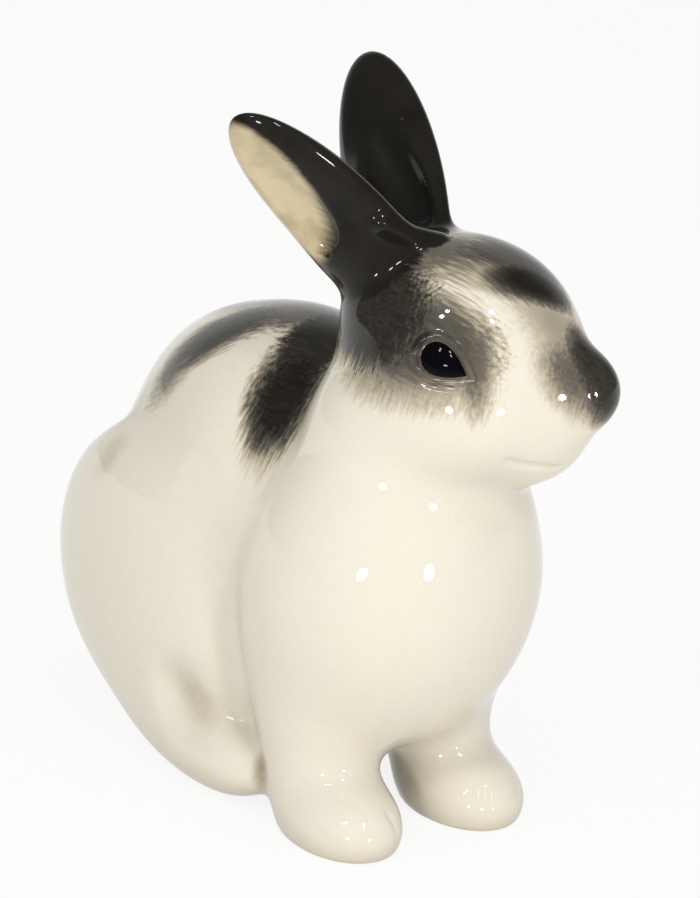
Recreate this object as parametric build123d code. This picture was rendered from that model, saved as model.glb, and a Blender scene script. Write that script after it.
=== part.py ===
from build123d import *
import math
import os

# A porcelain rabbit ornament, cast hollow in slip, put together from castings with
# a thin layer of slip in each joint, then fired and glazed. Millimetres, +Z up. The
# rabbit looks along -Y with its head turned to its left, +X. It stands on z = 0, and
# the origin is on the ground under the middle of its box.
#
# Every form is a few egg-shaped lobes that flow into each other. A lobe has its
# width across X, length along Y and height along Z, and a place that is its centre.

# Sizes of the castings as a whole
wall = 3.5
slip = 0.5
vent_diameter = 6.0
vent_back = 14.0

# Chest and throat
chest_width = 47.5
chest_length = 44.5
chest_height = 55.0
chest_forward = 20.5
chest_rise = 40.0
chest_lean = 7.0
throat_width = 33.0
throat_length = 29.0
throat_height = 28.0
throat_side = 1.6
throat_forward = 23.0
throat_rise = 66.0
throat_blend = 14.0

# Back, rump and belly
back_width = 45.0
back_length = 56.0
back_height = 57.5
back_behind = 5.5
back_rise = 46.5
rump_width = 38.0
rump_length = 43.0
rump_height = 62.5
rump_behind = 21.5
rump_rise = 38.0
rump_blend = 12.0
belly_width = 40.5
belly_length = 63.0
belly_height = 34.0
belly_behind = 7.0
belly_rise = 22.5
belly_blend = 8.0
shoulder_blend = 7.0

# Forelegs and their paws
foreleg_width = 17.0
foreleg_length = 20.0
foreleg_height = 44.5
foreleg_side = 11.5
foreleg_forward = 17.5
foreleg_rise = 20.5
foreleg_lean = -5.0
paw_width = 17.0
paw_length = 22.5
paw_height = 14.5
paw_side = 11.75
paw_forward = 26.5
paw_rise = 3.0
paw_blend = 6.0

# Hind legs: a rounded haunch and a long foot
haunch_width = 18.5
haunch_length = 50.0
haunch_height = 48.0
haunch_side = 18.0
haunch_behind = 19.0
haunch_rise = 29.5
haunch_blend = 8.0
hind_foot_width = 15.0
hind_foot_length = 39.0
hind_foot_height = 15.0
hind_foot_side = 16.0
hind_foot_behind = 5.0
hind_foot_rise = 6.5
hind_foot_turn = 6.5

# Tail, pressed against the rump
tail_width = 14.0
tail_length = 13.0
tail_height = 17.0
tail_behind = 42.0
tail_rise = 25.0

# Head: its lobes are placed from the head's own centre, along its own axes
head_side = 4.0
head_forward = 25.5
head_rise = 80.0
head_turn = 29.5
head_nod = -1.5
skull_width = 32.5
skull_length = 37.0
skull_height = 31.0
skull_forward = 2.0
muzzle_width = 21.5
muzzle_length = 22.5
muzzle_height = 25.0
muzzle_forward = 13.0
muzzle_drop = 9.0
muzzle_blend = 9.0
nose_width = 11.5
nose_length = 15.5
nose_height = 13.5
nose_forward = 20.5
nose_drop = 5.5
nose_blend = 5.0
cheek_width = 18.0
cheek_length = 27.0
cheek_height = 20.5
cheek_side = 9.0
cheek_forward = 3.5
cheek_drop = 9.0
cheek_blend = 7.0
neck_tilt = 26.0
neck_cut_rise = 1.0

# Ears: the axis starts inside the head and leans back and out
ear_thickness = 6.5
ear_width = 16.75
ear_length = 45.5
ear_side = -1.5
ear_behind = 3.2
ear_rise = 3.0
ear_lean_back = 35.5
ear_lean_out = 31.0
ear_twist = 7.5
ear_root_width = 12.25
ear_root_length = 30.5
ear_root_side = 5.5
ear_root_behind = 11.5
ear_root_rise = 11.75
ear_root_blend = 5.0
ear_dish_depth = 5.4
ear_dish_width = 10.4
ear_dish_length = 29.0
ear_dish_out = 4.2
ear_dish_behind = 2.0
ear_dish_along = 34.0

# Eyes: a lens of black enamel in a socket
eye_thickness = 2.6
eye_length = 7.2
eye_height = 5.4
eye_forward = 3.0
eye_drop = 2.3
eye_turn = -12.0
eye_lift = -14.0
eye_slant = 22.0
eye_sink = 0.4
eye_clearance = 0.1

# How finely the forms are followed
outline_count = 24
section_count = 14
cap_share = 0.2
search_step = 4.0
halvings = 16
spine_turn = 45.0
facet = 0.05


def at(frame, point):
    """A point given along a frame's own axes, in the figure's axes."""
    moved = frame * Pos(*point)
    return tuple(moved.position)


def lobe(frame, place, size):
    """A field that is below zero inside an egg-shaped lobe and above zero outside."""
    plane = Plane(frame * Pos(*place))
    centre = tuple(plane.origin)
    axes = [tuple(axis) for axis in (plane.x_dir, plane.y_dir, plane.z_dir)]
    half = [length / 2 for length in size]

    def value(x, y, z):
        gap = (x - centre[0], y - centre[1], z - centre[2])
        outer = inner = 0.0
        for axis, reach in zip(axes, half):
            along = gap[0] * axis[0] + gap[1] * axis[1] + gap[2] * axis[2]
            outer += (along / reach) ** 2
            inner += (along / reach**2) ** 2
        if inner == 0:
            return -min(half)
        return math.sqrt(outer) * (math.sqrt(outer) - 1) / math.sqrt(inner)

    return value


def flow(first, second, width):
    """Two fields as one, with a soft valley of about the given width between them."""

    def value(x, y, z):
        a = first(x, y, z)
        b = second(x, y, z)
        near = max(width - abs(a - b), 0) / width
        return min(a, b) - near**3 * width / 6

    return value


def crossing(form, start, direction, level):
    """How far from start, along direction, the form ends."""

    def inside(distance):
        x, y, z = (s + d * distance for s, d in zip(start, direction))
        return form(x, y, z) < level

    near = 0.0
    far = search_step
    while inside(far):
        near = far
        far += search_step
    for _ in range(halvings):
        middle = (near + far) / 2
        if inside(middle):
            near = middle
        else:
            far = middle
    return near


def closed_curve(points):
    """A smooth closed curve through the points, in quarters that run into each other."""
    count = len(points)
    quarter = count // 4
    headings = [points[(k + 1) % count] - points[k - 1] for k in range(count)]
    arcs = []
    for first in range(0, count, quarter):
        last = first + quarter
        arcs.append(
            Edge.make_spline(
                [points[k % count] for k in range(first, last + 1)],
                tangents=[headings[first], headings[last % count]],
            )
        )
    return Wire(arcs)


def moulded(form, frame, level=0.0):
    """A form as a solid, lofted from end to end along the frame's Z axis.

    The outlines lie square to that axis, closer together towards the ends, which
    finish in tiny flats. A level above zero swells the whole form by about that much,
    and one below zero shrinks it.
    """
    plane = Plane(frame)
    centre = tuple(plane.origin)
    along = tuple(plane.z_dir)
    ahead = crossing(form, centre, along, level)
    behind = crossing(form, centre, tuple(-a for a in along), level)
    middle = (ahead - behind) / 2
    half = (ahead + behind) / 2

    def on_axis(distance):
        return tuple(c + a * distance for c, a in zip(centre, along))

    outlines = []
    for index in range(section_count):
        angle = math.pi * (index + cap_share) / (section_count - 1 + 2 * cap_share)
        start = on_axis(middle - half * math.cos(angle))
        points = []
        for step in range(outline_count):
            angle = 2 * math.pi * step / outline_count
            across = tuple(plane.x_dir * math.cos(angle) + plane.y_dir * math.sin(angle))
            reach = crossing(form, start, across, level)
            points.append(Vector(*start) + Vector(*across) * reach)
        outlines.append(closed_curve(points))
    return Solid.make_loft(outlines)


def egg(frame, size, level=0.0):
    """One plain lobe as a solid, with its centre at the frame's."""
    return moulded(lobe(frame, (0, 0, 0), size), frame, level)


def seated(piece, host_swollen, host):
    """A piece cut to sit on its host, and the layer of slip between the two."""
    return piece - host_swollen, (piece & host_swollen) - host


ground = Pos(0, 0, 0)
floor = Plane(ground)
parts = {}

# Torso: one hollow casting of chest, throat, back, rump and belly
chest = lobe(
    ground * Pos(0, -chest_forward, chest_rise) * Rot(X=chest_lean),
    (0, 0, 0),
    (chest_width, chest_length, chest_height),
)
throat = lobe(
    ground,
    (throat_side, -throat_forward, throat_rise),
    (throat_width, throat_length, throat_height),
)
back = lobe(ground, (0, back_behind, back_rise), (back_width, back_length, back_height))
rump = lobe(ground, (0, rump_behind, rump_rise), (rump_width, rump_length, rump_height))
belly = lobe(
    ground, (0, belly_behind, belly_rise), (belly_width, belly_length, belly_height)
)
rear_form = flow(back, rump, rump_blend)
rear_form = flow(rear_form, belly, belly_blend)
torso_form = flow(flow(chest, throat, throat_blend), rear_form, shoulder_blend)
spine = Pos(0, 0, chest_rise) * Rot(X=90) * Rot(Z=spine_turn)
torso_outer = moulded(torso_form, spine)
torso_swollen = moulded(torso_form, spine, slip)
torso_hollow = moulded(torso_form, spine, -wall)

# Head: a hollow casting whose throat stub ends at the neck joint
head_level = Pos(head_side, -head_forward, head_rise) * Rot(Z=head_turn)
head = head_level * Rot(X=head_nod)
skull = lobe(head, (0, -skull_forward, 0), (skull_width, skull_length, skull_height))
muzzle = lobe(
    head,
    (0, -muzzle_forward, -muzzle_drop),
    (muzzle_width, muzzle_length, muzzle_height),
)
nose = lobe(
    head, (0, -nose_forward, -nose_drop), (nose_width, nose_length, nose_height)
)
cheek_size = (cheek_width, cheek_length, cheek_height)
right_cheek = lobe(head, (-cheek_side, -cheek_forward, -cheek_drop), cheek_size)
left_cheek = lobe(head, (cheek_side, -cheek_forward, -cheek_drop), cheek_size)
head_form = flow(skull, muzzle, muzzle_blend)
head_form = flow(head_form, nose, nose_blend)
head_form = flow(head_form, right_cheek, cheek_blend)
head_form = flow(head_form, left_cheek, cheek_blend)
head_form = flow(head_form, throat, cheek_blend)
skull_place = Vector(*at(head, (0, -skull_forward, 0)))
nose_place = Vector(*at(head, (0, -nose_forward, -nose_drop)))
muzzle_line = Plane(
    skull_place, x_dir=Plane(head).x_dir, z_dir=nose_place - skull_place
).location
head_outer = moulded(head_form, muzzle_line)
head_swollen = moulded(head_form, muzzle_line, slip)
head_hollow = moulded(head_form, muzzle_line, -wall)

# Neck joint: a flat cut through the throat, with a ring of slip in it
neck = Pos(0, -throat_forward, throat_rise + neck_cut_rise) * Rot(X=neck_tilt)
neck_face = Plane(neck)
neck_face_above = Plane(neck * Pos(0, 0, slip))
vent_aligned = (Align.CENTER, Align.CENTER, Align.MIN)
vent = Cylinder(vent_diameter / 2, belly_rise, align=vent_aligned)
torso_below = split(torso_outer, bisect_by=neck_face, keep=Keep.BOTTOM)
parts["torso"] = torso_below - torso_hollow - Pos(0, vent_back, 0) * vent
ring_outline = section(torso_outer, section_by=neck_face)
ring_hollow = section(torso_hollow, section_by=neck_face)
parts["neck_slip"] = extrude(ring_outline - ring_hollow, slip, neck_face.z_dir)

# Eyes: each lens lies in a socket in the head, and stands a little proud
eye_size = (eye_thickness, eye_length, eye_height)
head_shell = split(head_outer, bisect_by=neck_face_above, keep=Keep.TOP)
for side, turn, slant in (
    ("left", eye_turn, eye_slant),
    ("right", 180 - eye_turn, -eye_slant),
):
    sight = head * Pos(0, -eye_forward, -eye_drop) * Rot(Z=turn) * Rot(Y=eye_lift)
    outward = tuple(Plane(sight).x_dir)
    start = at(sight, (0, 0, 0))
    reach = crossing(head_form, start, outward, 0.0) - eye_sink
    eye_place = sight * Pos(reach, 0, 0) * Rot(X=slant)
    parts[side + "_eye"] = egg(eye_place, eye_size)
    head_shell = head_shell - egg(eye_place, eye_size, eye_clearance)
parts["head"] = head_shell - head_hollow

# Ears: pressed solid, with a shallow dish inside, and seated on the head
tilt = Rot(X=-ear_lean_back) * Rot(Y=ear_lean_out) * Rot(Z=ear_twist)
ear = head_level * Pos(ear_side, ear_behind, ear_rise) * tilt
ear_middle = ear * Pos(0, 0, ear_length / 2)
blade = lobe(ear_middle, (0, 0, 0), (ear_thickness, ear_width, ear_length))
root = lobe(
    head_level * Pos(ear_root_side, ear_root_behind, ear_root_rise) * tilt,
    (0, 0, 0),
    (ear_root_width, ear_root_width, ear_root_length),
)
dish = egg(
    ear * Pos(ear_dish_out, ear_dish_behind, ear_dish_along),
    (ear_dish_depth, ear_dish_width, ear_dish_length),
)
head_middle = Plane(head_level * Rot(Y=90))
beside_middle = Plane(head_level * Pos(slip / 2, 0, 0) * Rot(Y=90))
left_ear = moulded(flow(blade, root, ear_root_blend), ear_middle) - dish
left_ear = split(left_ear, bisect_by=beside_middle, keep=Keep.TOP)
for side, piece in (("left", left_ear), ("right", mirror(left_ear, head_middle))):
    parts[side + "_ear"], parts[side + "_ear_slip"] = seated(
        piece, head_swollen, head_outer
    )

# Forelegs: solid, each with its paw, flat where it stands, and seated on the torso
foreleg_place = Pos(foreleg_side, -foreleg_forward, foreleg_rise)
paw_place = Pos(paw_side, -paw_forward, paw_rise)
foreleg = lobe(
    foreleg_place * Rot(X=foreleg_lean),
    (0, 0, 0),
    (foreleg_width, foreleg_length, foreleg_height),
)
paw = lobe(paw_place, (0, 0, 0), (paw_width, paw_length, paw_height))
shin = Plane(
    foreleg_place.position, z_dir=foreleg_place.position - paw_place.position
)
left_foreleg = moulded(flow(foreleg, paw, paw_blend), shin.location)
left_foreleg = split(left_foreleg, bisect_by=floor, keep=Keep.TOP)

# Hind legs: haunch and long foot in one, flat underneath, behind the forelegs
haunch_place = Pos(haunch_side, haunch_behind, haunch_rise)
hind_foot_place = Pos(hind_foot_side, hind_foot_behind, hind_foot_rise)
haunch = lobe(haunch_place, (0, 0, 0), (haunch_width, haunch_length, haunch_height))
hind_foot = lobe(
    hind_foot_place * Rot(Z=hind_foot_turn),
    (0, 0, 0),
    (hind_foot_width, hind_foot_length, hind_foot_height),
)
hock = Plane(
    haunch_place.position, z_dir=haunch_place.position - hind_foot_place.position
)
left_hind_leg = moulded(flow(haunch, hind_foot, haunch_blend), hock.location)
left_hind_leg = split(left_hind_leg, bisect_by=floor, keep=Keep.TOP) - left_foreleg
for name, piece in (("foreleg", left_foreleg), ("hind_leg", left_hind_leg)):
    for side, sided in (("left", piece), ("right", mirror(piece, Plane.YZ))):
        whole = side + "_" + name
        parts[whole], parts[whole + "_slip"] = seated(
            sided, torso_swollen, torso_outer
        )

# Tail: a small solid scut
tail_place = Pos(0, tail_behind, tail_rise) * Rot(X=90)
tail = egg(tail_place, (tail_width, tail_height, tail_length))
parts["tail"], parts["tail_slip"] = seated(tail, torso_swollen, torso_outer)

# The whole is moved so that the origin is under the middle of its box, which is taken
# from points on the surfaces
surface = [point for piece in parts.values() for point in piece.tessellate(facet)[0]]
xs = [point.X for point in surface]
ys = [point.Y for point in surface]
centred = Pos(-(min(xs) + max(xs)) / 2, -(min(ys) + max(ys)) / 2, 0)
os.makedirs("parts", exist_ok=True)
for name, piece in parts.items():
    export_step(centred * piece, "parts/" + name + ".step")
print("moved by", centred.position)
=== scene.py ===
import math
import bpy
import numpy as np
from mathutils import Matrix, Vector


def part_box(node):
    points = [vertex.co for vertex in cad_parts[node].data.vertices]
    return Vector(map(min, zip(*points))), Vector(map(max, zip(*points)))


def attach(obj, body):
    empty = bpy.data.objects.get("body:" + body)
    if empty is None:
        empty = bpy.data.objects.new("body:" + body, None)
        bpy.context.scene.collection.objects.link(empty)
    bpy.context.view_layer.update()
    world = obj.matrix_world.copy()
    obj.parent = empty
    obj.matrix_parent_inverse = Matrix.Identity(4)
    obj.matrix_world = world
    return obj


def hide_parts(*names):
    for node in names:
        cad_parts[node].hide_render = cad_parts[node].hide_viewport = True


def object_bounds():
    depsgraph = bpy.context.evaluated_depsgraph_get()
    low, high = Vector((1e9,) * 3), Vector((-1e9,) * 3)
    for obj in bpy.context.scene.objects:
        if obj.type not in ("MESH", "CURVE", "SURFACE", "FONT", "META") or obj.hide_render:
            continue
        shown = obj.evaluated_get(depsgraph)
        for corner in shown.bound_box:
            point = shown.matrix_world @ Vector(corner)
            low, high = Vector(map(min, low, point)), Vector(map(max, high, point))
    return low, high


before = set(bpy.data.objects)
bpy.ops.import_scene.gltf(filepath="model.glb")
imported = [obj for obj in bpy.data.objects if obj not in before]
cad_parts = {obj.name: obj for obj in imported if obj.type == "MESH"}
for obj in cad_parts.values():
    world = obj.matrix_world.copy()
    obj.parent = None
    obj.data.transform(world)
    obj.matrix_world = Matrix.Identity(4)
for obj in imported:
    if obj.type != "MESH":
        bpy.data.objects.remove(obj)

cad_low, cad_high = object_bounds()
mm = 0.001

# The figure stands a little off the row's origin. Its own middle plane goes through the
# tail, and its forepaws' toes are 37.75 mm in front of its own origin. All forms below
# are in millimetres, along the figure's own axes.
toes_forward = 37.75
tail_low, tail_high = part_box("tail")
paw_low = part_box("left_foreleg")[0]
stand = np.array([(tail_low[0] + tail_high[0]) / 2 / mm, paw_low[1] / mm + toes_forward, 0.0])


# Camera: the photograph looks down on the rabbit from its right front, through a long
# lens. The angles, lens and aim come from fitting the figure to its outline there.
def turned(*turns):
    """The axes of a piece after turns in degrees, such as ("Z", 30), each about its own axis."""
    axes = np.eye(3)
    for name, degrees in turns:
        c, s = math.cos(math.radians(degrees)), math.sin(math.radians(degrees))
        first, second = {"X": (1, 2), "Y": (2, 0), "Z": (0, 1)}[name]
        turn = np.eye(3)
        turn[first, first] = turn[second, second] = c
        turn[second, first] = s
        turn[first, second] = -s
        axes = axes @ turn
    return axes


camera_azimuth = -35.96
camera_elevation = 20.05
camera_roll = 2.85
camera_distance = 633.0
camera_aim = stand + (-3.36, -12.39, 58.24)
lens_length = 164.55
camera_data = bpy.data.cameras.new("camera")
camera_data.lens = lens_length
camera_data.clip_start = 0.01
camera = bpy.data.objects.new("camera", camera_data)
bpy.context.scene.collection.objects.link(camera)
bpy.context.scene.camera = camera
facing = turned(("Z", camera_azimuth), ("X", 90 - camera_elevation), ("Z", camera_roll))
place = (camera_aim + facing[:, 2] * camera_distance) * mm
for row in range(3):
    camera.matrix_world[row][:3] = facing[row]
    camera.matrix_world[row][3] = place[row]


# The castings are modelled as soft egg-shaped lobes that flow into each other. A form is
# a function of points that is below zero inside, zero on the surface and above outside.
def lobe(place, size, axes=None):
    """An egg-shaped form with its width, length and height along its own axes."""
    centre = np.array(place, float)
    half = np.array(size, float) / 2
    to_own = (np.eye(3) if axes is None else axes) / half

    def form(points):
        near = (points - centre) @ to_own
        steep = near / half
        outer = np.sqrt(np.einsum("ij,ij->i", near, near))
        inner = np.sqrt(np.einsum("ij,ij->i", steep, steep))
        return outer * (outer - 1) / np.maximum(inner, 1e-9)

    return form


def soft_min(a, b, width):
    near = np.maximum(width - np.abs(a - b), 0) / width
    return np.minimum(a, b) - near**3 * width / 6


def flow(first, second, width):
    """Two forms as one, with a soft valley between them."""
    return lambda points: soft_min(first(points), second(points), width)


def carved(form, tool, width):
    """A form less a tool, with a soft edge."""
    return lambda points: -soft_min(-form(points), tool(points), width)


def tube(places, radius, reach=8):
    """A round bead along a row of places, known only near itself."""
    places = np.array(places, float)
    low = places.min(0) - radius - reach
    high = places.max(0) + radius + reach

    def form(points):
        near = ((points > low) & (points < high)).all(1)
        close = points[near]
        gap = np.full(len(close), float(reach + radius))
        for a, b in zip(places[:-1], places[1:]):
            along = b - a
            share = np.clip((close - a) @ along / (along @ along), 0, 1)
            off = close - a - share[:, None] * along
            gap = np.minimum(gap, np.sqrt(np.einsum("ij,ij->i", off, off)))
        result = np.full(len(points), 100.0)
        result[near] = gap - radius
        return result

    return form


# Torso: the body casting, with a deep chest, a throat that turns a little to the left,
# a rounded back and rump, and a belly that hangs low between the haunches. A hole under
# the belly let the slip drain and the air out in the firing.
chest = lobe((0, -20.5, 40), (47.5, 44.5, 55), turned(("X", 7)))
throat = lobe((1.6, -23, 66), (33, 29, 28))
back = lobe((0, 5.5, 46.5), (45, 56, 57.5))
rump = lobe((0, 21.5, 38), (38, 43, 62.5))
belly = lobe((0, 7, 22.5), (40.5, 63, 34))
fore_body = flow(chest, throat, 14)
hind_body = flow(flow(back, rump, 12), belly, 8)
torso = flow(fore_body, hind_body, 7)
vent = tube([(0, 14, 0), (0, 14, 10)], 3)

# Forelegs, hind legs and tail: pressed solid and luted to the torso, each foreleg with
# its round paw, each hind leg a broad haunch over a long foot, and a short scut. Thin
# grooves part the outer toes, and a hollow is pressed between haunch and foot.


def paired(place, size, *turns):
    """The left one of a pair, and the right one as its mirror image."""
    left = lobe(place, size, turned(*turns))
    return {1: left, -1: lambda points: left(points * (-1, 1, 1))}


shin = paired((11.5, -17.5, 20.5), (17, 20, 44.5), ("X", -5))
paw = paired((11.75, -26.5, 3), (17, 22.5, 14.5))
haunch = paired((18, 19, 29.5), (18.5, 50, 48))
foot = paired((16, 5, 6.5), (15, 39, 15), ("Z", 6.5))
sides = {"left": 1, "right": -1}
foreleg = {side: flow(shin[side], paw[side], 9) for side in (1, -1)}
hind_leg = {side: flow(haunch[side], foot[side], 12) for side in (1, -1)}
tail = lobe((0, 42, 25), (14, 13, 17))
leg_hollow = paired((25.2, 0.5, 15.5), (5, 11, 9), ("X", 35))
toe_line = [(8.0, -37.4, 0.8), (8.2, -37.3, 4.0), (9.2, -35.5, 7.2)]
toe_groove = {side: tube(np.array(toe_line) * (side, 1, 1), 0.2) for side in (1, -1)}

# Head: its own casting, turned to the left and nodding a little, with a rounded skull, a
# muzzle, a small nose and full cheeks. Lids, mouth and nostrils are tooled in the clay.
head_centre = np.array([4, -25.5, 80])
head_level = turned(("Z", 29.5))
head_axes = turned(("Z", 29.5), ("X", -1.5))


def on_head(place, axes=head_axes):
    return head_centre + np.array(place, float) @ axes.T


skull = lobe(on_head((0, -2, 0)), (32.5, 37, 31), head_axes)
muzzle = lobe(on_head((0, -13, -9)), (21.5, 22.5, 25), head_axes)
nose = lobe(on_head((0, -20.5, -5.5)), (11.5, 15.5, 13.5), head_axes)
head = flow(flow(skull, muzzle, 9), nose, 5)
for side in (1, -1):
    cheek = lobe(on_head((side * 9, -3.5, -9)), (18, 27, 20.5), head_axes)
    head = flow(head, cheek, 7)

eye_place = np.array([-15.9, -6.95, 0.8])
eye_front = np.array([0.1, -0.91, -0.42])
eye_front /= np.sqrt(eye_front @ eye_front)
eye_out = np.array([-0.95, -0.2, 0.24])
eye_out = eye_out - eye_front * (eye_out @ eye_front)
eye_out /= np.sqrt(eye_out @ eye_out)
eye_up = np.cross(eye_front, eye_out)
eye_length = 7.9
eye_height = 6.7


def eye_outline(side, scale, count=24):
    """Points around the drop-shaped eye, which is pointed at its front corner."""
    turn = np.arange(count) * 2 * math.pi / count
    ahead = np.cos(turn) * eye_length / 2 * scale
    up = np.sin(turn) * np.sin(turn / 2) * eye_height / 2 * scale
    ring = eye_place + ahead[:, None] * eye_front + up[:, None] * eye_up
    return on_head(ring * (-side, 1, 1))


lids = {}
creases = {}
for side in (1, -1):
    ring = eye_outline(side, 1.24)
    lids[side] = np.concatenate([ring, ring[:1]])
    creases[side] = eye_outline(side, 1.65)[4:12]
mouth_line = np.array([(11.3, -15.5, -14.5), (8.8, -17.3, -15.5), (6.5, -19.3, -16.1), (3.8, -20.7, -16.8)])
nostril_place = np.array([3.6, -25.6, -4.6])

# Ears: pressed solid and luted on behind the crown. A long blade leans back and out from
# a round root, is dished on its outer side and a little hollow on its inner side. A roll
# of clay runs from the right ear's root over the crown to the left ear.
ear_turns = {side: [("Z", 29.5), ("X", -35.5), ("Y", side * 31), ("Z", side * 7.5)] for side in (1, -1)}
ear_axes = {side: turned(*ear_turns[side]) for side in (1, -1)}
ear_base = {side: on_head((side * -1.5, 3.2, 3), head_level) for side in (1, -1)}
ear = {}
dish = {}
hollow = {}
for side in (1, -1):
    axes = ear_axes[side]
    blade = lobe(ear_base[side] + axes[:, 2] * 22.75, (6.5, 16.75, 45.5), axes)
    root = lobe(on_head((side * 5.5, 11.5, 11.75), head_level), (12.25, 12.25, 30.5), axes)
    ear[side] = flow(blade, root, 5)
    dish[side] = lobe(ear_base[side] + axes @ (side * 4.2, 2, 34), (5.4, 10.4, 29), axes)
    hollow[side] = lobe(ear_base[side] + axes @ (side * -4.7, -2.2, 23.5), (6.4, 8.6, 25),
                        axes @ turned(("X", -13), ("Y", side * -9)))
roll = tube(on_head([(-10.2, 6.6, 19.0), (-6.2, 3.6, 16.2), (-2.4, 1.0, 14.6)]), 1.7)

# The whole skin: all castings flow into each other, because their joints are filled with
# slip and smoothed before the firing. The feet are ground flat to stand.
fore = fore_body
hind = hind_body
for side in (1, -1):
    fore = flow(fore, carved(foreleg[side], toe_groove[side], 1.6), 11)
    hind = flow(hind, hind_leg[side], 7)
hind = carved(hind, vent, 0.8)
body = flow(flow(fore, hind, 5), tail, 3)
crown = head
for side in (1, -1):
    crown = flow(crown, tube(lids[side], 0.42), 1.0)
    crown = carved(crown, tube(creases[side], 0.15), 1.2)
    crown = carved(crown, tube(on_head(mouth_line * (side, 1, 1)), 0.1), 2.0)
    nostril = on_head(nostril_place * (side, 1, 1))
    crown = carved(crown, tube([nostril, nostril + 0.1], 0.15), 1.1)
    shaped_ear = carved(carved(ear[side], dish[side], 1.5), hollow[side], 1.5)
    crown = flow(crown, shaped_ear, 5)
crown = flow(crown, roll, 1.6)
figure = flow(body, crown, 7)
for side in (1, -1):
    figure = carved(figure, leg_hollow[side], 6)
ground_round = 0.8
figure = carved(figure, lambda points: points[:, 2], ground_round)


def measured(form, points, step=0.02):
    """A form's value at points, and which way it rises there and how steeply."""
    value = 0
    rise = 0
    for corner in np.array([(1, -1, -1), (-1, 1, -1), (-1, -1, 1), (1, 1, 1)], float):
        probe = form(points + corner * step)
        value = value + probe / 4
        rise = rise + probe[:, None] * corner / (4 * step)
    return value, rise


def settled(form, points, most):
    """Points moved on to a form's surface, each by no more than most."""
    value, rise = measured(form, points)
    move = -(value / np.maximum((rise**2).sum(1), 1e-6))[:, None] * rise
    far = np.sqrt((move**2).sum(1))
    return points + move * np.minimum(1, most / np.maximum(far, 1e-9))[:, None]


def skin(form, low, high, cell, coarse=4):
    """A form's surface as points and triangles, about one cell wide."""
    low = np.array(low, float)
    blocks = np.ceil((np.array(high) - low) / (cell * coarse)).astype(int)
    middle = low + (np.indices(blocks).reshape(3, -1).T + 0.5) * cell * coarse
    depth = form(middle).reshape(blocks)
    spread = np.ix_(*[np.repeat(np.arange(n), coarse) for n in blocks])
    inside = np.zeros(blocks * coarse + 1, bool)
    inside[:-1, :-1, :-1] = (depth < 0)[spread]
    close = (np.abs(depth) < 1.5 * cell * coarse)[spread]
    wanted = np.zeros_like(inside)
    for shift in np.ndindex(2, 2, 2):
        wanted[tuple(slice(s, s + n) for s, n in zip(shift, close.shape))] |= close
    inside[wanted] = form(low + np.argwhere(wanted) * cell) < 0
    count = np.zeros(close.shape, int)
    for shift in np.ndindex(2, 2, 2):
        count += inside[tuple(slice(s, s + n) for s, n in zip(shift, close.shape))]
    crossed = (count > 0) & (count < 8)
    number = np.full(crossed.shape, -1)
    number[crossed] = np.arange(crossed.sum())
    points = low + (np.argwhere(crossed) + 0.5) * cell
    faces = []
    for axis in range(3):
        change = np.diff(inside.astype(np.int8), axis=axis)
        for sign in (1, -1):
            corner = np.argwhere(change == sign)
            ring = []
            for back_b, back_c in ((0, 0), (1, 0), (1, 1), (0, 1))[::-sign]:
                near = corner.copy()
                near[:, (axis + 1) % 3] -= back_b
                near[:, (axis + 2) % 3] -= back_c
                ring.append(number[tuple(near.T)])
            faces.append(np.stack(ring, 1))
    faces = np.concatenate(faces)
    edges = np.concatenate([faces[:, [k, (k + 1) % 4]] for k in range(4)])
    valence = np.maximum(np.bincount(edges[:, 0], minlength=len(points)), 1)
    points = settled(form, points, cell)
    for _ in range(3):
        total = [np.bincount(edges[:, 0], points[edges[:, 1], k], len(points)) for k in range(3)]
        points = settled(form, (points + np.stack(total, 1) / valence[:, None]) / 2, cell)
    return points, np.concatenate([faces[:, [0, 1, 2]], faces[:, [0, 2, 3]]])


def halved(triangles, count, wanted):
    """Triangles cut at new points on the wanted edges, and which edges those are."""
    pairs = np.sort(np.concatenate([triangles[:, [k, (k + 1) % 3]] for k in range(3)]), 1)
    key, which = np.unique(pairs[:, 0] * count + pairs[:, 1], return_inverse=True)
    pairs = np.stack([key // count, key % count], 1)
    split = wanted(pairs)
    number = np.full(len(pairs), -1)
    number[split] = count + np.arange(split.sum())
    new = number[which.reshape(3, -1).T]
    cuts = (new >= 0).sum(1)
    t, n = triangles[cuts == 3].T, new[cuts == 3].T
    whole = [triangles[cuts == 0], n.T]
    whole += [np.stack(corner, 1) for corner in ((t[0], n[0], n[2]), (n[0], t[1], n[1]), (n[2], n[1], t[2]))]
    for k in range(3):
        t = np.roll(triangles, -k, 1)
        n = np.roll(new, -k, 1)
        one = (cuts == 1) & (n[:, 0] >= 0)
        a, b, c, ab = t[one, 0], t[one, 1], t[one, 2], n[one, 0]
        whole += [np.stack([a, ab, c], 1), np.stack([ab, b, c], 1)]
        two = (cuts == 2) & (n[:, 0] >= 0) & (n[:, 2] >= 0)
        a, b, c, ab, ca = t[two, 0], t[two, 1], t[two, 2], n[two, 0], n[two, 2]
        whole += [np.stack([a, ab, ca], 1), np.stack([ab, b, c], 1), np.stack([ab, c, ca], 1)]
    return np.concatenate(whole), pairs[split]


cell = 0.48
margin = 3 * cell
figure_low = np.array(cad_low) / mm - stand - margin
figure_high = np.array(cad_high) / mm - stand + margin
points, triangles = skin(figure, figure_low, figure_high, cell)

# finer triangles on the face, for its lids and mouth
face_front = -1.0
face_low = -19.0
in_head = (points - head_centre) @ head_axes
on_front = (in_head[:, 1] < face_front) & (in_head[:, 2] > face_low)
triangles, edges = halved(triangles, len(points), lambda pairs: on_front[pairs].all(1))
points = np.concatenate([points, settled(figure, points[edges].mean(1), cell)])

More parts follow.
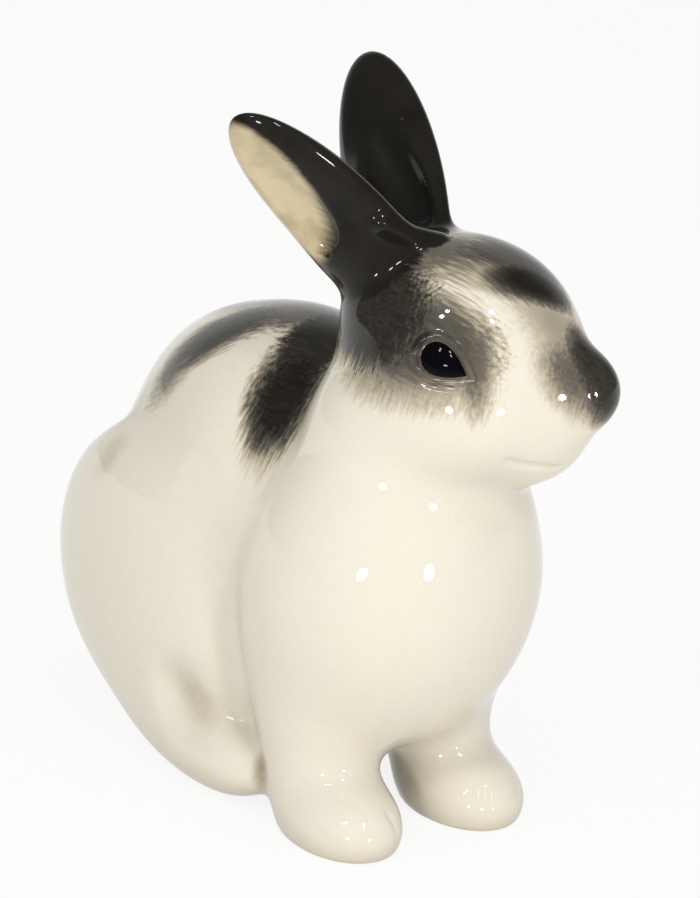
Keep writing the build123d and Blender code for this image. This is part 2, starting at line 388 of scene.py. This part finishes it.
# The pieces part where one casting's form takes over from the next: at the neck along the
# flat cut through the throat, elsewhere where two forms are equally near.
neck_place = np.array([0, -23, 67])
neck_up = turned(("X", 26))[:, 2]
upper = {"head": head, "left_ear": ear[1], "right_ear": ear[-1]}
lower = {"torso": torso, "tail": tail}
for word, side in sides.items():
    lower[word + "_foreleg"] = foreleg[side]
    lower[word + "_hind_leg"] = hind_leg[side]
names = list(upper) + list(lower)
count_up = len(upper)


def parted(data, triangles, value):
    """The same surface with its triangles cut where a value crosses zero."""
    sign = np.where(np.abs(value) < snap, 0, np.sign(value)).astype(int)
    triangles, edges = halved(triangles, len(data), lambda pairs: sign[pairs].prod(1) < 0)
    a, b = edges.T
    share = (value[a] / (value[a] - value[b]))[:, None]
    return np.concatenate([data, data[a] + (data[b] - data[a]) * share]), triangles


depths = [form(points) for form in (upper | lower).values()]
above_neck = (points - neck_place) @ neck_up
data = np.column_stack([points, above_neck] + depths)
snap = 0.06 * cell
data, triangles = parted(data, triangles, data[:, 3])
for first, last in ((4, 4 + count_up), (4 + count_up, 4 + len(names))):
    for own in range(first, last):
        others = [other for other in range(first, last) if other != own]
        data, triangles = parted(data, triangles, data[:, own] - data[:, others].min(1))
points = data[:, :3]
middles = data[triangles].mean(1)
nearest_up = np.argmin(middles[:, 4:4 + count_up], 1)
nearest_down = np.argmin(middles[:, 4 + count_up:], 1) + count_up
owner = np.where(middles[:, 3] > 0, nearest_up, nearest_down)
normals = measured(figure, points)[1]
normals /= np.sqrt((normals**2).sum(1))[:, None]


cap_shares = (0.05, 0.2, 0.45, 0.7)
cap_depth = 1.0


def capped(points, triangles):
    """A piece closed over each open edge loop by a sheet that stays inside the figure."""
    rims = np.concatenate([triangles[:, [k, (k + 1) % 3]] for k in range(3)])
    forward = set(map(tuple, rims.tolist()))
    after = {a: b for a, b in forward if (b, a) not in forward}
    added = [points]
    fans = [triangles]
    start = len(points)
    while after:
        a = next(iter(after))
        loop = []
        while a in after:
            loop.append(a)
            a = after.pop(a)
        rim = points[loop]
        inward = rim.mean(0) - rim
        sheet = np.concatenate([rim + inward * share for share in cap_shares] + [rim[:1] + inward[:1]])
        for _ in range(4):
            value, rise = measured(figure, sheet)
            sink = np.maximum(value + cap_depth, 0) / np.maximum((rise**2).sum(1), 0.05)
            sheet = sheet - sink[:, None] * rise
        count = len(loop)
        outer = np.array(loop)
        for ring in range(len(cap_shares)):
            inner = start + ring * count + np.arange(count)
            fans.append(np.stack([np.roll(outer, -1), outer, inner], 1))
            fans.append(np.stack([np.roll(outer, -1), inner, np.roll(inner, -1)], 1))
            outer = inner
        middle = np.full(count, start + len(sheet) - 1)
        fans.append(np.stack([np.roll(outer, -1), outer, middle], 1))
        added.append(sheet)
        start += len(sheet)
    return np.concatenate(added), np.concatenate(fans)


# Glaze: black and grey slip paint, brushed on in hair-like strokes under a clear glossy
# glaze, on white clay, which gives soft dark fur under an even, wet shine. The dished
# side of each ear is cream. The ground feet are bare. A few strokes and a darkening in
# the hollows are painted shade; the darkening also stands for glaze pooled there.
def linear(text):
    """A colour written as in the photograph, for a shader's socket."""
    parts = [int(text[k:k + 2], 16) / 255 for k in (1, 3, 5)]
    return [v / 12.92 if v < 0.04045 else ((v + 0.055) / 1.055)**2.4 for v in parts] + [1]


def add(tree, kind, inputs={}, **settings):
    """A shader node with its settings, whose sockets are set or linked; gives its output."""
    node = tree.nodes.new("ShaderNode" + kind)
    for name, value in settings.items():
        setattr(node, name, value)
    for name, value in inputs.items():
        if isinstance(value, bpy.types.NodeSocket):
            tree.links.new(value, node.inputs[name])
        else:
            node.inputs[name].default_value = value
    return next(output for output in node.outputs if output.enabled)


def euler(axes):
    return Matrix(axes.tolist()).to_euler()


glaze = bpy.data.materials.new("painted_clear_glaze")
glaze.use_nodes = True
tree = glaze.node_tree
tree.nodes.clear()
in_metres = tree.nodes.new("ShaderNodeTexCoord").outputs["Object"]
on_body = add(tree, "Mapping", {"Vector": in_metres, "Location": stand * mm, "Scale": [mm] * 3},
              vector_type="TEXTURE")
on_face = add(tree, "Mapping", {"Vector": on_body, "Location": head_centre, "Rotation": euler(head_axes)},
              vector_type="TEXTURE")
x, y, z = [add(tree, "SeparateXYZ", {0: on_body}).node.outputs[k] for k in range(3)]
on_flank = add(tree, "CombineXYZ", {0: add(tree, "Math", {0: x}, operation="ABSOLUTE"), 1: y, 2: z})


def hair(coords, direction, thick=0.55, long=7):
    """Streaks of brush hairs along a direction, with their thickness and length."""
    turn = Vector(direction).to_track_quat("X", "Z").to_euler()
    size = (long, thick, thick)
    own = add(tree, "Mapping", {"Vector": coords, "Rotation": turn, "Scale": size}, vector_type="TEXTURE")
    return add(tree, "TexNoise", {"Vector": own, "Scale": 1, "Detail": 3, "Roughness": 0.65})


def patch(coords, streaks, place, turn, radii, strength, soft=0.4, ragged=0.9):
    """How much paint lies in an egg-shaped area, with an edge frayed by streaks."""
    own = add(tree, "Mapping", {"Vector": coords, "Location": place, "Rotation": turn, "Scale": radii},
              vector_type="TEXTURE")
    far = add(tree, "VectorMath", {0: own}, operation="LENGTH")
    frayed = add(tree, "Math", {0: streaks, 1: ragged, 2: far}, operation="MULTIPLY_ADD")
    middle = 1 + ragged / 2
    return add(tree, "MapRange", {"Value": frayed, "From Min": middle + soft, "From Max": middle - soft,
               "To Max": strength}, interpolation_type="SMOOTHSTEP")


def stroke(coords, streaks, start, end, width, strength, soft=0.4, ragged=0.9):
    """A patch from a start to an end, with a half width."""
    start, end = Vector(start), Vector(end)
    turn = (end - start).to_track_quat("X", "Z").to_euler()
    radii = ((end - start).length / 2 + width, width, width)
    return patch(coords, streaks, (start + end) / 2, turn, radii, strength, soft, ragged)


def most(values):
    top = values[0]
    for value in values[1:]:
        top = add(tree, "Math", {0: top, 1: value, 2: 0.12}, operation="SMOOTH_MAX")
    return top


long_hair = hair(on_face, (0, -1, -0.35))
down_hair = hair(on_face, (0, 0.25, -1), 0.5, 5)
flank_hair = hair(on_flank, (0.35, 0.8, -0.6))
fall_hair = hair(on_flank, (0.4, 0.1, -1), 0.6, 6)

paint = []
for side in (1, -1):
    paint += [
        # nape, behind the eye and down the side of the head
        stroke(on_face, down_hair, (side * -12, 15, 9), (side * -13, 4, 5.5), 9.5, 0.9, 0.35, 0.9),
        stroke(on_face, long_hair, (side * -14, 5, 4), (side * -14.5, -7, 2.8), 7.2, 0.68, 0.4, 0.9),
        stroke(on_face, down_hair, (side * -16, 12, -1), (side * -17, -8, -1.8), 4.8, 0.46, 1.0, 1.1),
        stroke(on_face, down_hair, (side * -14.2, -10.8, 4.5), (side * -15, -11.5, -3.6), 2.7, 0.56, 0.8,
               0.9),
        stroke(on_face, down_hair, (side * -5, 14.5, 8), (side * -8, 13.5, 1.5), 4.2, 0.8, 0.6, 0.8),
        # a dark line along the crease over the eye: painted shade in the crease
        stroke(on_face, long_hair, (side * -16.8, -1.6, 2.2), (side * -15.8, -4.2, 5.6), 1.1, 0.92, 0.6, 0.3),
    ]
paint += [
    # crown, brow and the patch over the left brow
    stroke(on_face, long_hair, (-6, 6, 13.5), (-4, -5, 14.5), 6.8, 0.56, 0.8, 1.9),
    stroke(on_face, long_hair, (-3.5, -5, 15), (0.5, -14, 12.5), 4.6, 0.7, 0.6, 1.7),
    stroke(on_face, long_hair, (-5.2, -12, 11.8), (0.6, -17, 8.8), 3.6, 1.05, 0.7, 0.8),
    stroke(on_face, long_hair, (3.5, -8, 13), (5.5, -12.5, 10), 6, 0.95, 0.4, 0.8),
    # nose
    stroke(on_face, down_hair, (-0.8, -22.5, 0.3), (-1.2, -26.6, -5.4), 4.7, 0.85, 0.5, 0.4),
    stroke(on_face, down_hair, (-4.8, -20.5, 0), (-4, -24.5, -4), 4.2, 0.6, 0.9, 0.7),
    stroke(on_face, down_hair, (4.8, -20.5, 0), (2, -24.5, -4), 4.2, 0.6, 0.9, 0.7),
    stroke(on_face, long_hair, (-5, -15, 8.5), (-2.5, -22.5, 1.5), 4.4, 0.36, 0.9, 1.3),
    # shoulders and back, the same on both flanks
    stroke(on_flank, flank_hair, (0, -1, 74.5), (8.5, -5.2, 70.2), 5.2, 0.86, 0.35, 1.0),
    stroke(on_flank, fall_hair, (9, -5.5, 70), (15.1, -7.9, 63.6), 5.3, 1.0, 0.6, 0.9),
    stroke(on_flank, fall_hair, (14, -7.9, 65.5), (16.6, -8.3, 60.2), 3.8, 0.42, 1.0, 1.4),
    stroke(on_flank, flank_hair, (0, 1, 75), (5, 11, 74), 5.2, 0.6, 0.5, 1.2),
    stroke(on_flank, flank_hair, (0, 10, 75), (0, 24, 71), 6, 0.55, 0.6, 1.0),
    stroke(on_flank, flank_hair, (5.5, 9, 73.5), (13, 17.5, 66.5), 5, 0.9, 0.6, 0.9),
    stroke(on_flank, flank_hair, (12, 17, 67), (16.2, 20.6, 61.8), 4.4, 0.6, 0.9, 1.0),
    stroke(on_flank, flank_hair, (15.5, 26, 58), (18, 28, 52), 3, 0.2, 0.8, 0.8),
    stroke(on_flank, flank_hair, (22.5, 24, 51), (23.5, 26, 46), 3, 0.16, 0.8, 0.8),
    # painted shade in the hollow of the hind leg and beside its toes
    stroke(on_flank, fall_hair, (23, 2, 17), (20, -1.5, 13.5), 3.6, 0.2, 0.8, 0.4),
    stroke(on_flank, fall_hair, (18.6, -14.6, 9.5), (18.4, -14.6, 6.5), 1.7, 0.36, 0.9, 0.4),
]
for side in (1, -1):
    axes = ear_axes[side]
    start = ear_base[side] + axes @ (0, 0, 14)
    end = ear_base[side] + axes @ (0, 0, 47)
    paint.append(stroke(on_body, long_hair, start, end, 12, 1.35, 0.2, 0.3))
    paint.append(stroke(on_body, long_hair, on_head((side * 5, 10, 16)), start, 7.5, 0.92, 0.4, 0.8))
paint.append(stroke(on_face, long_hair, (2.4, 4.6, 16), (5, 9, 20), 5, 1.2, 0.3, 0.6))
paint.append(stroke(on_face, long_hair, (-9.5, 6, 19), (-2.6, 0.8, 15), 2.9, 1.3, 0.3, 0.4))
amount = most(paint)

bare = []
for side in (1, -1):
    place = ear_base[side] + ear_axes[side] @ (side * 4.5, 4.6, 36.5)
    bare.append(patch(on_body, long_hair, place, euler(ear_axes[side]), (5.2, 8.0, 16.8), 1.0, 0.1, 0.12))
notch = stroke(on_flank, fall_hair, (15.6, -19.8, 93), (16.3, -18.8, 97.6), 1.2, 1.0, 0.3, 0.3)
cream = add(tree, "Math", {0: most(bare), 1: notch}, operation="SUBTRACT", use_clamp=True)

ramp = tree.nodes.new("ShaderNodeValToRGB")
paint_tones = [(0, "#f0ecdf"), (0.25, "#b8ae98"), (0.5, "#6b655a"), (0.75, "#35332e"), (1, "#0a090b")]
for _ in paint_tones[2:]:
    ramp.color_ramp.elements.new(0.5)
for element, (at, tone) in zip(ramp.color_ramp.elements, paint_tones):
    element.position = at
    element.color = linear(tone)
fine = add(tree, "Math", {0: long_hair, 1: 0.5}, operation="SUBTRACT")
worn = add(tree, "Math", {0: fine, 1: 0.45, 2: 1}, operation="MULTIPLY_ADD")
tree.links.new(add(tree, "Math", {0: amount, 1: worn}, operation="MULTIPLY"), ramp.inputs[0])
cream_spots = add(tree, "TexNoise", {"Vector": on_body, "Scale": 0.2, "Detail": 3})
cream_dark = add(tree, "MapRange", {"Value": cream_spots, "From Min": 0.4, "From Max": 0.75})
cream_tone = add(tree, "MixRGB", {0: cream_dark, 1: linear("#cabb9b"), 2: linear("#a19270")})
colour = add(tree, "MixRGB", {0: cream, 1: ramp.outputs[0], 2: cream_tone})
speck_cells = add(tree, "TexVoronoi", {"Vector": on_body, "Scale": 0.075})
speck = add(tree, "MapRange", {"Value": speck_cells, "From Min": 0.02, "From Max": 0.012, "To Max": 0.7})
colour = add(tree, "MixRGB", {0: speck, 1: colour, 2: linear("#5a4c3e")})
# darker and browner where the surface is hollow, by ambient occlusion: painted shade, also standing for clear
# glaze pooled in the hollows
occlusion = add(tree, "AmbientOcclusion", {"Distance": 9 * mm}, samples=2).node.outputs["AO"]
pooled_glaze_and_shade = add(tree, "MapRange", {"Value": occlusion, "From Min": 0.75, "From Max": 0.2, "To Max": 0.36})
colour = add(tree, "MixRGB", {0: pooled_glaze_and_shade, 1: colour, 2: linear("#a8946c")}, blend_type="MULTIPLY")
ground_off = add(tree, "MapRange", {"Value": z, "From Min": 0.35, "From Max": 0.2})
colour = add(tree, "MixRGB", {0: ground_off, 1: colour, 2: linear("#b89a78")})
ripple = add(tree, "TexNoise", {"Vector": on_body, "Scale": 0.16, "Detail": 1})
bump = add(tree, "Bump", {"Height": ripple, "Strength": 1, "Distance": 0.09 * mm})
shader = add(tree, "BsdfPrincipled", {"Base Color": colour, "Roughness": 0.45, "Specular IOR Level": 0.08,
             "Coat Weight": 1.0, "Coat Roughness": 0.03, "Coat IOR": 1.36, "Coat Normal": bump})
tree.links.new(shader, tree.nodes.new("ShaderNodeOutputMaterial").inputs["Surface"])


def shown(name, places, faces, normals, material, node_slot, *nodes):
    """A piece of the figurine, given in the figure's own millimetres."""
    mesh = bpy.data.meshes.new(name)
    mesh.from_pydata(((places + stand) * mm).tolist(), [], faces.tolist())
    mesh.polygons.foreach_set("use_smooth", [True] * len(faces))
    if normals is not None:
        mesh.normals_split_custom_set_from_vertices(normals.tolist())
    mesh.materials.append(material)
    piece = bpy.data.objects.new(name, mesh)
    bpy.context.scene.collection.objects.link(piece)
    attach(piece, "root")
    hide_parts(*nodes)


for number, name in enumerate(names):
    used, own = np.unique(triangles[owner == number], return_inverse=True)
    closed, faces = capped(points[used], own.reshape(-1, 3))
    hidden = np.tile((0, 0, 1), (len(closed) - len(used), 1))
    edge_normals = np.concatenate([normals[used], hidden])
    slips = {"torso": [], "head": ["neck_slip"]}.get(name, [name + "_slip"])
    shown("glazed_" + name, closed, faces, edge_normals, glaze, "glazed_porcelain", name, *slips)

# Eyes: drops of thick black enamel laid on the head over the glaze and fired again, which
# look deep and wet. Each is a low dome with its back a little way in the head.
enamel = bpy.data.materials.new("black_enamel")
enamel.use_nodes = True
enamel_shader = enamel.node_tree.nodes["Principled BSDF"]
enamel_shader.inputs["Base Color"].default_value = linear("#07060b")
enamel_shader.inputs["Roughness"].default_value = 0.06
enamel_shader.inputs["IOR"].default_value = 1.25
eye_dome = 0.75
eye_depth = 0.9
for word, side in sides.items():
    count = 64
    scales = np.linspace(1, 0, 13)[:-1]
    rings = [eye_outline(side, scale, count) for scale in scales] + [on_head(eye_place * (-side, 1, 1))[None]]
    flat = settled(head, settled(head, np.concatenate(rings), 3), 3)
    outward = measured(head, flat)[1]
    outward /= np.sqrt((outward**2).sum(1))[:, None]
    rise = 1 - np.append(np.repeat(scales, count), 0)**2
    front = flat + outward * (eye_dome * rise)[:, None]
    behind = (flat - outward * (eye_depth * rise)[:, None])[count:]
    faces = []
    for ring in range(len(scales)):
        for k in range(count):
            a, b = ring * count + k, ring * count + (k + 1) % count
            if ring < len(scales) - 1:
                faces += [(a, b, b + count), (a, b + count, a + count)]
            else:
                faces.append((a, b, len(scales) * count))
    faces = np.array(faces)[:, ::side]
    under = np.where(faces >= count, faces + len(behind), faces)[:, ::-1]
    shown(word + "_enamel_eye", np.concatenate([front, behind]), np.concatenate([faces, under]),
          None, enamel, "black_enamel", word + "_eye")

# Floor, room and lamps: a white table top, a white wall behind, a dimmer room around the
# camera, and six small soft lamps on the camera's side, seen as spots in the glaze.
floor_half = 3
floor_mesh = bpy.data.meshes.new("floor")
floor_mesh.from_pydata([(x * floor_half, y * floor_half, 0) for x, y in ((-1, -1), (1, -1), (1, 1), (-1, 1))],
                       [], [(0, 1, 2, 3)])
floor = bpy.data.objects.new("floor", floor_mesh)
bpy.context.scene.collection.objects.link(floor)
table = bpy.data.materials.new("white_table")
table.use_nodes = True
tree = table.node_tree
tree.nodes.clear()
matt = add(tree, "BsdfDiffuse", {"Color": linear("#f4f2ee")})
path = tree.nodes.new("ShaderNodeLightPath")
open_view = add(tree, "Math", {0: path.outputs["Is Camera Ray"], 1: path.outputs["Is Transmission Ray"]},
                operation="MAXIMUM")
place = tree.nodes.new("ShaderNodeTexCoord").outputs["Object"]
away = turned(("Z", camera_azimuth)) @ (0, 1, 0)
beyond = add(tree, "VectorMath", {0: place, 1: away}, operation="DOT_PRODUCT")
fading = add(tree, "MapRange", {"Value": beyond, "From Min": -0.3, "From Max": 0.15, "To Min": 0.1,
             "To Max": 1.0}, interpolation_type="SMOOTHSTEP")
strength = add(tree, "Mix", {0: path.outputs["Is Glossy Ray"], 2: 1.0, 3: fading})
white = add(tree, "Emission", {"Color": linear("#ffffff"), "Strength": strength})
clear_share = add(tree, "Math", {0: open_view, 1: 0.88}, operation="MULTIPLY")
share = add(tree, "Math", {0: clear_share, 1: path.outputs["Is Glossy Ray"]}, operation="MAXIMUM")
surface = add(tree, "MixShader", {0: share, 1: matt, 2: white})
tree.links.new(surface, tree.nodes.new("ShaderNodeOutputMaterial").inputs["Surface"])
floor_mesh.materials.append(table)

room_level = 0.68
room_dim = 0.08
world = bpy.data.worlds.new("room")
bpy.context.scene.world = world
world.use_nodes = True
tree = world.node_tree
tree.nodes.clear()
path = tree.nodes.new("ShaderNodeLightPath")
direction = tree.nodes.new("ShaderNodeTexCoord").outputs["Generated"]
behind = add(tree, "VectorMath", {0: direction, 1: away}, operation="DOT_PRODUCT")
wall = add(tree, "MapRange", {"Value": behind, "From Min": 0.5, "From Max": 1.0, "To Min": room_dim})
glossy = add(tree, "Mix", {0: path.outputs["Is Glossy Ray"], 2: room_level, 3: wall})
clear = add(tree, "Math", {0: path.outputs["Is Camera Ray"], 1: path.outputs["Is Transmission Ray"]},
            operation="MAXIMUM")
level = add(tree, "Mix", {0: clear, 2: glossy, 3: 1.0})
backdrop = add(tree, "Background", {"Color": linear("#ffffff"), "Strength": level})
tree.links.new(backdrop, tree.nodes.new("ShaderNodeOutputWorld").inputs["Surface"])

lamp_distance = 0.6
lamps = {"low_left": (-53, 2, 0.07, 0.56), "low_right": (-5, 1, 0.07, 0.56),
         "high_left": (-66, 40, 0.045, 0.3), "top_left": (-62, 47, 0.045, 0.3),
         "high_right": (-12, 41, 0.045, 0.3), "top_right": (-9, 49, 0.045, 0.3)}
lamp_aim = stand * mm + np.array((0, -0.015, 0.06))
for name, (azimuth, elevation, size, watts) in lamps.items():
    lamp_data = bpy.data.lights.new(name, "AREA")
    lamp_data.shape = "DISK"
    lamp_data.size = size
    lamp_data.energy = watts
    lamp = bpy.data.objects.new(name, lamp_data)
    turn = turned(("Z", azimuth), ("X", 90 - elevation))
    lamp.location = lamp_aim + turn[:, 2] * lamp_distance
    lamp.rotation_euler = euler(turn)
    bpy.context.scene.collection.objects.link(lamp)
bpy.context.scene.view_settings.view_transform = "Standard"
